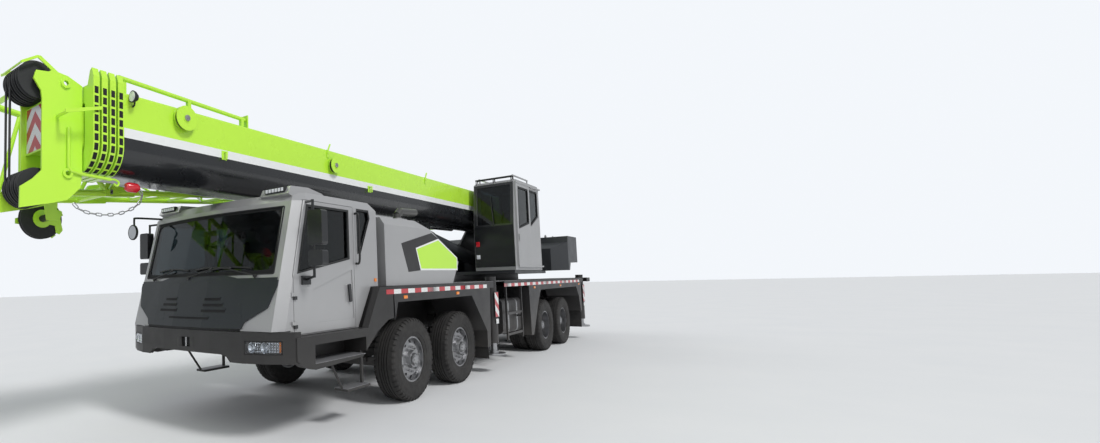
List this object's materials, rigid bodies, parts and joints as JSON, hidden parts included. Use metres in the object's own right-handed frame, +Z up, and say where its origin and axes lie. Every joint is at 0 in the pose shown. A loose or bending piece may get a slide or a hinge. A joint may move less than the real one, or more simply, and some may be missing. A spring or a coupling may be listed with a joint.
{
  "type": "mobile crane",
  "caption": "Truck crane on four axles with a full-width driver's cab, slewing operator's cab, telescopic boom, luffing cylinder, stowed lattice jib and outriggers.",
  "frame": {"origin": "centre of the footprint of the whole crane at ground level", "axes": "+X forward over the cab, +Y to the vehicle's left, +Z up"},
  "size_m": [13.61, 3.12, 3.5498],
  "materials": {
    "carrier_grey": "satin dark grey paint",
    "cab_silver": "metallic silver paint",
    "mask_black": "dark gloss",
    "window_glass": "tinted",
    "lamp_lens": "clear lens",
    "cab_trim": "matt",
    "engine_iron": "rough",
    "boom_green": "gloss lime paint",
    "super_grey": "satin grey paint",
    "sheave_black": "cast nylon",
    "rod_chrome": "polished",
    "jack_steel": "ground",
    "beam_grey": "satin dark grey paint",
    "knuckle_iron": "black",
    "tyre_rubber": "worn black",
    "rim_silver": "polished"
  },
  "bodies": {
    "carrier": {"chassis_frame": "carrier_grey", "axles": "carrier_grey", "outrigger_boxes": "carrier_grey", "carrier_deck": "carrier_grey", "engine_block": "engine_iron", "engine_hood": "cab_silver", "cab_shell": "cab_silver", "cab_glass": "window_glass", "front_mask": "mask_black", "cab_interior": "cab_trim", "bumper": "carrier_grey", "headlamps": "lamp_lens", "side_equipment": "carrier_grey"},
    "superstructure": {"turntable": "super_grey", "machinery_cover": "super_grey", "counterweight": "super_grey", "operator_cab": "cab_silver", "operator_cab_glass": "window_glass"},
    "operator_door": {"operator_door": "cab_silver"},
    "boom": {"boom_base": "boom_green", "jib": "boom_green"},
    "section_2": {"boom_section_2": "boom_green"},
    "section_3": {"boom_section_3": "boom_green"},
    "section_4": {"boom_section_4": "boom_green"},
    "section_5": {"boom_section_5": "boom_green", "boom_sheaves": "sheave_black"},
    "luff_barrel": {"luff_barrel": "super_grey"},
    "luff_rod": {"luff_rod": "rod_chrome"},
    "door_left": {"door_left": "cab_silver", "door_glass_left": "window_glass"},
    "door_right": {"door_right": "cab_silver", "door_glass_right": "window_glass"},
    "outrigger_beam_front_left": {"outrigger_beam_front_left": "beam_grey"},
    "outrigger_jack_front_left": {"outrigger_jack_front_left": "jack_steel"},
    "outrigger_beam_front_right": {"outrigger_beam_front_right": "beam_grey"},
    "outrigger_jack_front_right": {"outrigger_jack_front_right": "jack_steel"},
    "outrigger_beam_rear_left": {"outrigger_beam_rear_left": "beam_grey"},
    "outrigger_jack_rear_left": {"outrigger_jack_rear_left": "jack_steel"},
    "outrigger_beam_rear_right": {"outrigger_beam_rear_right": "beam_grey"},
    "outrigger_jack_rear_right": {"outrigger_jack_rear_right": "jack_steel"},
    "knuckle_axle1_left": {"knuckle_axle1_left": "knuckle_iron"},
    "wheel_axle1_left": {"tyre_axle1_left": "tyre_rubber", "rim_axle1_left": "rim_silver"},
    "knuckle_axle1_right": {"knuckle_axle1_right": "knuckle_iron"},
    "wheel_axle1_right": {"tyre_axle1_right": "tyre_rubber", "rim_axle1_right": "rim_silver"},
    "knuckle_axle2_left": {"knuckle_axle2_left": "knuckle_iron"},
    "wheel_axle2_left": {"tyre_axle2_left": "tyre_rubber", "rim_axle2_left": "rim_silver"},
    "knuckle_axle2_right": {"knuckle_axle2_right": "knuckle_iron"},
    "wheel_axle2_right": {"tyre_axle2_right": "tyre_rubber", "rim_axle2_right": "rim_silver"},
    "wheels_axle3_left": {"tyres_axle3_left": "tyre_rubber", "rims_axle3_left": "rim_silver"},
    "wheels_axle3_right": {"tyres_axle3_right": "tyre_rubber", "rims_axle3_right": "rim_silver"},
    "wheels_axle4_left": {"tyres_axle4_left": "tyre_rubber", "rims_axle4_left": "rim_silver"},
    "wheels_axle4_right": {"tyres_axle4_right": "tyre_rubber", "rims_axle4_right": "rim_silver"}
  },
  "joints": [
    {"name": "slew", "type": "hinge", "parent": "carrier", "child": "superstructure", "pos_m": [-3.255, 0, 1.56], "axis": [0, 0, 1], "continuous": true},
    {"name": "luff", "type": "hinge", "parent": "superstructure", "child": "boom", "pos_m": [-5.055, 0, 2.95], "axis": [0, -1, 0], "range_deg": [0, 80]},
    {"name": "luff_barrel_swing", "type": "hinge", "parent": "superstructure", "child": "luff_barrel", "pos_m": [-3.405, 0, 1.84], "axis": [0, -1, 0], "range_deg": [0, 83]},
    {"name": "luff_rod_slide", "type": "slide", "parent": "luff_barrel", "child": "luff_rod", "axis": [0.9846, 0, 0.175], "range_m": [0, 2.6]},
    {"name": "telescope_2", "type": "slide", "parent": "boom", "child": "section_2", "axis": [1, 0, 0], "range_m": [0, 8]},
    {"name": "telescope_3", "type": "slide", "parent": "section_2", "child": "section_3", "axis": [1, 0, 0], "range_m": [0, 8]},
    {"name": "telescope_4", "type": "slide", "parent": "section_3", "child": "section_4", "axis": [1, 0, 0], "range_m": [0, 8]},
    {"name": "telescope_5", "type": "slide", "parent": "section_4", "child": "section_5", "axis": [1, 0, 0], "range_m": [0, 8]},
    {"name": "operator_door_slide", "type": "slide", "parent": "superstructure", "child": "operator_door", "axis": [-1, 0, 0], "range_m": [0, 0.68]},
    {"name": "door_left_hinge", "type": "hinge", "parent": "carrier", "child": "door_left", "pos_m": [4.682, 1.262, 1.3], "axis": [0, 0, -1], "range_deg": [0, 70]},
    {"name": "door_right_hinge", "type": "hinge", "parent": "carrier", "child": "door_right", "pos_m": [4.682, -1.262, 1.3], "axis": [0, 0, 1], "range_deg": [0, 70]},
    {"name": "outrigger_beam_front_left_slide", "type": "slide", "parent": "carrier", "child": "outrigger_beam_front_left", "axis": [0, 1, 0], "range_m": [0, 1.9]},
    {"name": "outrigger_jack_front_left_slide", "type": "slide", "parent": "outrigger_beam_front_left", "child": "outrigger_jack_front_left", "axis": [0, 0, -1], "range_m": [0, 0.5]},
    {"name": "outrigger_beam_front_right_slide", "type": "slide", "parent": "carrier", "child": "outrigger_beam_front_right", "axis": [0, -1, 0], "range_m": [0, 1.9]},
    {"name": "outrigger_jack_front_right_slide", "type": "slide", "parent": "outrigger_beam_front_right", "child": "outrigger_jack_front_right", "axis": [0, 0, -1], "range_m": [0, 0.5]},
    {"name": "outrigger_beam_rear_left_slide", "type": "slide", "parent": "carrier", "child": "outrigger_beam_rear_left", "axis": [0, 1, 0], "range_m": [0, 1.9]},
    {"name": "outrigger_jack_rear_left_slide", "type": "slide", "parent": "outrigger_beam_rear_left", "child": "outrigger_jack_rear_left", "axis": [0, 0, -1], "range_m": [0, 0.5]},
    {"name": "outrigger_beam_rear_right_slide", "type": "slide", "parent": "carrier", "child": "outrigger_beam_rear_right", "axis": [0, -1, 0], "range_m": [0, 1.9]},
    {"name": "outrigger_jack_rear_right_slide", "type": "slide", "parent": "outrigger_beam_rear_right", "child": "outrigger_jack_rear_right", "axis": [0, 0, -1], "range_m": [0, 0.5]},
    {"name": "steer_axle1_left", "type": "hinge", "parent": "carrier", "child": "knuckle_axle1_left", "pos_m": [2.345, 0.88, 0.535], "axis": [0, 0, 1], "range_deg": [-32, 32]},
    {"name": "wheel_axle1_left_spin", "type": "hinge", "parent": "knuckle_axle1_left", "child": "wheel_axle1_left", "pos_m": [2.345, 1.09, 0.535], "axis": [0, 1, 0], "continuous": true},
    {"name": "steer_axle1_right", "type": "hinge", "parent": "carrier", "child": "knuckle_axle1_right", "pos_m": [2.345, -0.88, 0.535], "axis": [0, 0, 1], "range_deg": [-32, 32]},
    {"name": "wheel_axle1_right_spin", "type": "hinge", "parent": "knuckle_axle1_right", "child": "wheel_axle1_right", "pos_m": [2.345, -1.09, 0.535], "axis": [0, 1, 0], "continuous": true},
    {"name": "steer_axle2_left", "type": "hinge", "parent": "carrier", "child": "knuckle_axle2_left", "pos_m": [0.895, 0.88, 0.535], "axis": [0, 0, 1], "range_deg": [-25, 25]},
    {"name": "wheel_axle2_left_spin", "type": "hinge", "parent": "knuckle_axle2_left", "child": "wheel_axle2_left", "pos_m": [0.895, 1.09, 0.535], "axis": [0, 1, 0], "continuous": true},
    {"name": "steer_axle2_right", "type": "hinge", "parent": "carrier", "child": "knuckle_axle2_right", "pos_m": [0.895, -0.88, 0.535], "axis": [0, 0, 1], "range_deg": [-25, 25]},
    {"name": "wheel_axle2_right_spin", "type": "hinge", "parent": "knuckle_axle2_right", "child": "wheel_axle2_right", "pos_m": [0.895, -1.09, 0.535], "axis": [0, 1, 0], "continuous": true},
    {"name": "wheels_axle3_left_spin", "type": "hinge", "parent": "carrier", "child": "wheels_axle3_left", "pos_m": [-3.355, 0.92, 0.535], "axis": [0, 1, 0], "continuous": true},
    {"name": "wheels_axle3_right_spin", "type": "hinge", "parent": "carrier", "child": "wheels_axle3_right", "pos_m": [-3.355, -0.92, 0.535], "axis": [0, 1, 0], "continuous": true},
    {"name": "wheels_axle4_left_spin", "type": "hinge", "parent": "carrier", "child": "wheels_axle4_left", "pos_m": [-4.705, 0.92, 0.535], "axis": [0, 1, 0], "continuous": true},
    {"name": "wheels_axle4_right_spin", "type": "hinge", "parent": "carrier", "child": "wheels_axle4_right", "pos_m": [-4.705, -0.92, 0.535], "axis": [0, 1, 0], "continuous": true}
  ],
  "couplings": [
    {"joint": "luff_barrel_swing", "follows": "luff", "ratio": 1.0333},
    {"joint": "luff_rod_slide", "follows": "luff", "m_per_rad": 1.8254},
    {"joint": "telescope_3", "follows": "telescope_2", "ratio": 1},
    {"joint": "telescope_4", "follows": "telescope_2", "ratio": 1},
    {"joint": "telescope_5", "follows": "telescope_2", "ratio": 1},
    {"joint": "steer_axle1_right", "follows": "steer_axle1_left", "ratio": 1},
    {"joint": "steer_axle2_left", "follows": "steer_axle1_left", "ratio": 0.77},
    {"joint": "steer_axle2_right", "follows": "steer_axle1_left", "ratio": 0.77}
  ]
}
